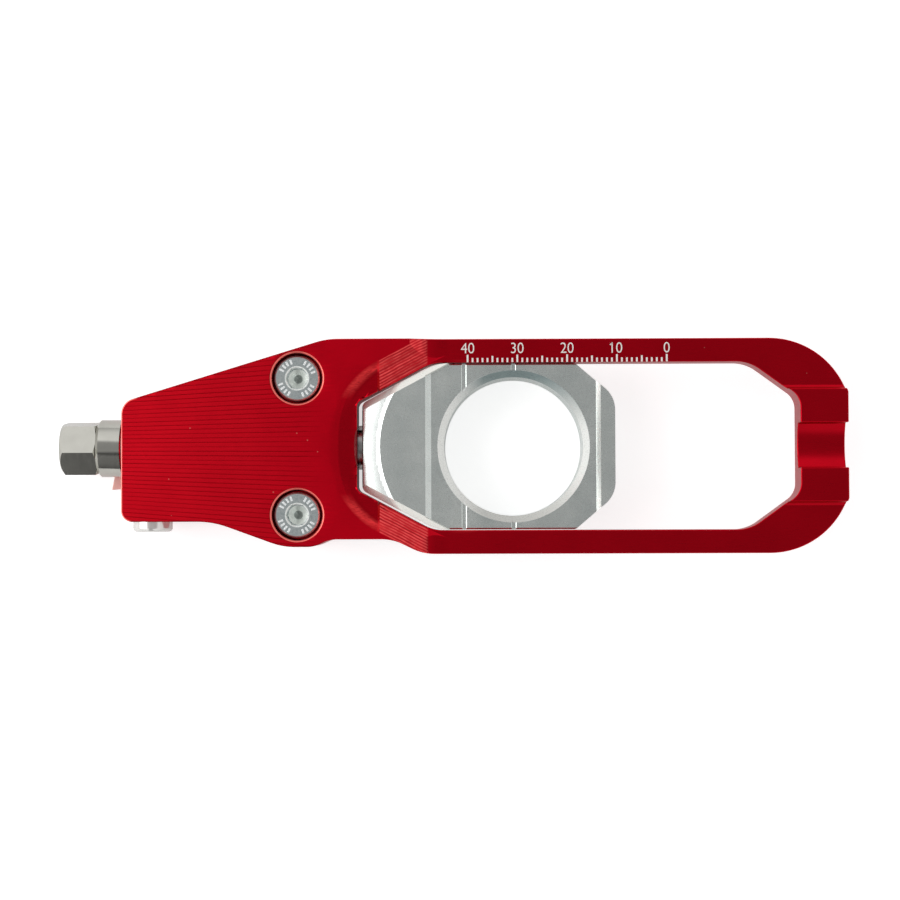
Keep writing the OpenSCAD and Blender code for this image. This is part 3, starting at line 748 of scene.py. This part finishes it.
def block_piece(material):
    """The axle block, with its left edge and the edges of its fine marks just broken."""
    bm = shape_of("axle_block")

    def left_end(edge):
        return all(v.co.x < BLOCK_LOW.x + 0.05 * MM and v.co.z > RAIL - 3 * MM for v in edge.verts)

    def fine_mark(edge):
        inside = all(SEAT - 0.01 * MM < v.co.z < SEAT + 0.01 * MM for v in edge.verts)
        return inside and any(all(abs(v.co.x - x) < MARK_REACH for v in edge.verts) for x in (LINE_X, AXLE_X))

    deburr(bm, 0.12 * MM, 30, fine_mark)
    round_lip(bm)
    carry_chamfers_on(bm)
    deburr(bm, 0.22 * MM, 30, left_end)
    return finish_piece("block_dressed", bm, "block", material, "axle_block")


def cover_piece(material):
    """The rear cover with its edges broken."""
    bm = shape_of("rear_cover")
    deburr(bm, 0.15 * MM)
    return finish_piece("cover_dressed", bm, "plate", material, "rear_cover")


def smooth_piece(node, body, material):
    """A turned part: the CAD node's own shape, with its round faces shaded smooth."""
    bm = shape_of(node, whole=False)
    return finish_piece(node + "_dressed", bm, body, material, node, smooth=22)


# Marks on the fixing screws

HEAD_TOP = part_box("fixing_screws")[1].z
MARK_ROUND = 3.45 * MM
MARK_W = 0.40 * MM
MARK_L = 0.95 * MM
MARK_RISE = 0.10 * MM
# Directions of the raised dashes round a head, in degrees, in four groups
MARK_TURNS = [turn + step for turn in (20, 110, 200, 290) for step in (0, 14, 28, 42)]


def screw_marks(material):
    """Plain raised dashes round the heads, as a screw's blank carries them."""
    bm = bmesh.new()
    for side in (1, -1):
        for turn in MARK_TURNS:
            made = bmesh.ops.create_cube(bm, size=1)["verts"]
            bmesh.ops.scale(bm, vec=(MARK_L, MARK_W, 2 * MARK_RISE), verts=made)
            bmesh.ops.translate(bm, vec=(MARK_ROUND, 0, 0), verts=made)
            bmesh.ops.rotate(bm, cent=(0, 0, 0), matrix=Matrix.Rotation(radians(turn), 3, "Z"), verts=made)
            bmesh.ops.translate(bm, vec=(SCREW_X, side * SCREW_Y, HEAD_TOP), verts=made)
    bmesh.ops.bevel(bm, geom=bm.edges, offset=0.03 * MM, offset_type="OFFSET", affect="EDGES", segments=2,
                    profile=0.5, material=-1)
    return finish_piece("screw_marks", bm, "plate", material)


# Scale on the upper rail

SCALE_ZERO = END_FACE + 109.5 * MM
TICK_W = 0.36 * MM
TICK_START = WINDOW_HALF + 0.05 * MM
DIGIT_MIDDLE = 19.75 * MM
DIGIT_HEIGHT = 2.13 * MM
DIGIT_STRETCH = 0.96
# How much thinner each side of a figure's stroke is than the plain font's
THINNER = 0.018 * MM
INLAY = 0.02 * MM
# The flag of the figure 1
FLAG_L = 0.62 * MM
FLAG_W = 0.21 * MM
FLAG_TURN = radians(42)
# How far its middle lies left of the figure's edge and below its top
FLAG_LEFT = 0.08 * MM
FLAG_DROP = 0.32 * MM
# Height of a figure as a share of the plain font's size
FIGURE_SHARE = 0.72
TICKS = 41


def tick_length(i):
    """Every tenth tick is the longest, and every fifth the next."""
    return (1.5 if i % 10 == 0 else 1.25 if i % 5 == 0 else 0.85) * MM


def scale_marks(material):
    """The forty-one ticks, each a thin bar let into the rail's face."""
    bm = bmesh.new()
    for i in range(TICKS):
        made = bmesh.ops.create_cube(bm, size=1)["verts"]
        length = tick_length(i)
        bmesh.ops.scale(bm, vec=(TICK_W, length, 2 * INLAY), verts=made)
        bmesh.ops.translate(bm, vec=(SCALE_ZERO - i * MM, TICK_START + length / 2, RAIL), verts=made)
    return finish_piece("scale_ticks", bm, "plate", material)


def scale_number(value, material):
    """A number of the scale, in plain figures let into the rail's face."""
    curve = bpy.data.curves.new("number", "FONT")
    curve.body = str(value)
    curve.size = DIGIT_HEIGHT / FIGURE_SHARE
    curve.offset = -THINNER
    curve.align_x = "CENTER"
    curve.align_y = "CENTER"
    curve.extrude = INLAY
    curve.resolution_u = 4
    text = bpy.data.objects.new("number", curve)
    bpy.context.scene.collection.objects.link(text)
    bpy.context.view_layer.update()
    mesh = bpy.data.meshes.new_from_object(text)
    bpy.data.objects.remove(text)
    bm = bmesh.new()
    bm.from_mesh(mesh)
    bmesh.ops.remove_doubles(bm, verts=bm.verts, dist=0.001 * MM)
    xs = [v.co.x for v in bm.verts]
    ys = [v.co.y for v in bm.verts]
    if value == 10:
        made = bmesh.ops.create_cube(bm, size=1)["verts"]
        bmesh.ops.scale(bm, vec=(FLAG_L, FLAG_W, 2 * INLAY), verts=made)
        bmesh.ops.rotate(bm, cent=(0, 0, 0), matrix=Matrix.Rotation(FLAG_TURN, 3, "Z"), verts=made)
        bmesh.ops.translate(bm, vec=(min(xs) - FLAG_LEFT, max(ys) - FLAG_DROP, 0), verts=made)
    middle = Vector(((min(xs) + max(xs)) / 2, (min(ys) + max(ys)) / 2, 0))
    bmesh.ops.translate(bm, vec=-middle, verts=bm.verts)
    bmesh.ops.scale(bm, vec=(DIGIT_STRETCH, DIGIT_HEIGHT / (max(ys) - min(ys)), 1), verts=bm.verts)
    bmesh.ops.translate(bm, vec=(SCALE_ZERO - value * MM, DIGIT_MIDDLE, RAIL), verts=bm.verts)
    return finish_piece(f"scale_number_{value}", bm, "plate", material)


# Camera, lamps and floor

# The camera's place, what it looks at, and its roll in radians
EYE = Vector((5.88, -12.79, 414)) * MM
AIM = Vector((-0.14, -0.74, 14)) * MM
ROLL = -0.0036

# Brightness of the soft box over its height, from the horizon at 0 to overhead at 1
SKY = [(0.0, 0.55), (0.35, 0.85), (0.78, 0.95), (0.86, 0.37), (1.0, 0.30)]
# How much further up the bright part reaches at the left, and how much brighter it is there
LEFT_REACH = 0.25
LEFT_GAIN = 0.5
# The camera's dark stand: its middle and half width sideways, and how dark it is
STAND_MIDDLE = -0.08
STAND_HALF = 0.13
STAND_DARK = 0.8
# The floor's own glow, and the share of it that mirrored and bent rays see
FLOOR_GLOW = 0.66
MIRRORED_SHARE = 0.3


def make_camera():
    """The camera at the photo's angle."""
    data = bpy.data.cameras.new("camera")
    data.sensor_width = 36
    data.lens = 79.7
    data.clip_start = 0.01
    back = (EYE - AIM).normalized()
    right = (Vector((1, 0, 0)) - back * back.x).normalized()
    up = back.cross(right)
    frame_of = Matrix((right, up, back)).transposed() @ Matrix.Rotation(ROLL, 3, "Z")
    camera = bpy.data.objects.new("camera", data)
    camera.matrix_world = Matrix.Translation(EYE) @ frame_of.to_4x4()
    bpy.context.scene.collection.objects.link(camera)
    bpy.context.scene.camera = camera


def lamp(name, place_of, size, power):
    """A square soft lamp that looks at the adjuster's middle."""
    data = bpy.data.lights.new(name, "AREA")
    data.size = size
    data.energy = power
    light = bpy.data.objects.new(name, data)
    light.location = place_of
    light.rotation_mode = "QUATERNION"
    light.rotation_quaternion = (-Vector(place_of)).to_track_quat("-Z", "Y")
    bpy.context.scene.collection.objects.link(light)


def make_world():
    """A round soft box: dim overhead where the camera stands, bright below that, most of all at the left."""
    world = bpy.data.worlds.new("studio")
    world.use_nodes = True
    bpy.context.scene.world = world
    tree = world.node_tree
    background = tree.nodes["Background"]
    direction = add(tree, "TexCoord").outputs["Generated"]
    parts = add(tree, "SeparateXYZ", {"Vector": direction}).outputs
    left = maths(tree, "MAXIMUM", maths(tree, "MULTIPLY", parts["X"], -1), 0)
    height = maths(tree, "SUBTRACT", parts["Z"], maths(tree, "MULTIPLY", left, LEFT_REACH))
    gain = maths(tree, "ADD", maths(tree, "MULTIPLY", left, LEFT_GAIN), 1)
    sky = mix(tree, 1, ramp(tree, height, SKY), gain, "MULTIPLY")
    # The dark stand of the camera, below the adjuster in the picture
    beside = maths(tree, "ABSOLUTE", maths(tree, "SUBTRACT", parts["X"], STAND_MIDDLE))
    stand = where_all(
        tree,
        fade(tree, parts["Y"], -0.2, -0.35),
        fade(tree, beside, STAND_HALF + 0.07, STAND_HALF),
    )
    sky = mix(tree, maths(tree, "MULTIPLY", stand, STAND_DARK), sky, (0, 0, 0))
    rays = add(tree, "LightPath").outputs["Is Camera Ray"]
    tree.links.new(mix(tree, rays, sky, (1, 1, 1)), background.inputs["Color"])


def make_floor():
    """A plain white floor that stays white to the camera and keeps a faint shadow."""
    bpy.ops.mesh.primitive_plane_add(size=6)
    floor_piece = bpy.context.object
    floor_piece.name = "floor"
    material, tree, shader = new_material("floor_white")
    set_plain(shader, base_color=(0.6, 0.6, 0.6, 1), roughness=0.9)
    rays = add(tree, "LightPath")
    mirrored = maths(tree, "MAXIMUM", rays.outputs["Is Glossy Ray"], rays.outputs["Is Transmission Ray"])
    mirrored = maths(tree, "MULTIPLY", mirrored, MIRRORED_SHARE)
    seen = maths(tree, "MAXIMUM", rays.outputs["Is Camera Ray"], mirrored)
    glow = add(tree, "Emission", {"Strength": maths(tree, "MULTIPLY", seen, FLOOR_GLOW)})
    both = add(tree, "AddShader", {0: shader.outputs[0], 1: glow.outputs[0]})
    tree.links.new(both.outputs[0], tree.nodes["Material Output"].inputs["Surface"])
    floor_piece.data.materials.append(material)


def main():
    """Dresses every piece, then sets up the camera, the light and the floor."""
    red = red_anodised()
    bare = aluminium()
    steel = turned_steel("polished_steel", (0.60, 0.59, 0.54), (0.06, 0.12))
    bright_steel = turned_steel("bright_steel", (0.93, 0.92, 0.89), (0.08, 0.12), 0.6)
    washer = turned_steel("washer_steel", (0.55, 0.55, 0.54), (0.25, 0.35))
    clip = turned_steel("clip_steel", (0.10, 0.10, 0.10), (0.35, 0.5))
    zinc_plate = zinc()
    white = scale_white()

    body_piece(red)
    cover_piece(red)
    block_piece(bare)
    smooth_piece("adjuster_bolt", "bolt", steel)
    smooth_piece("fixing_screws", "plate", zinc_plate)
    smooth_piece("lock_screw", "plate", bright_steel)
    screw_marks(bright_zinc())
    for node, material in (("lock_pad", nylon()), ("outer_washer", washer), ("inner_washer", washer),
                           ("retaining_clip", clip), ("draw_sleeve", washer), ("sleeve_pin", washer)):
        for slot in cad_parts[node].material_slots:
            slot.material = material
    scale_marks(white)
    for value in (0, 10, 20, 30, 40):
        scale_number(value, white)

    make_camera()
    make_world()
    lamp("lamp_left", (-0.48, 0.06, 0.36), size=0.45, power=1.6)
    make_floor()
    bpy.context.scene.view_settings.view_transform = "Standard"


main()
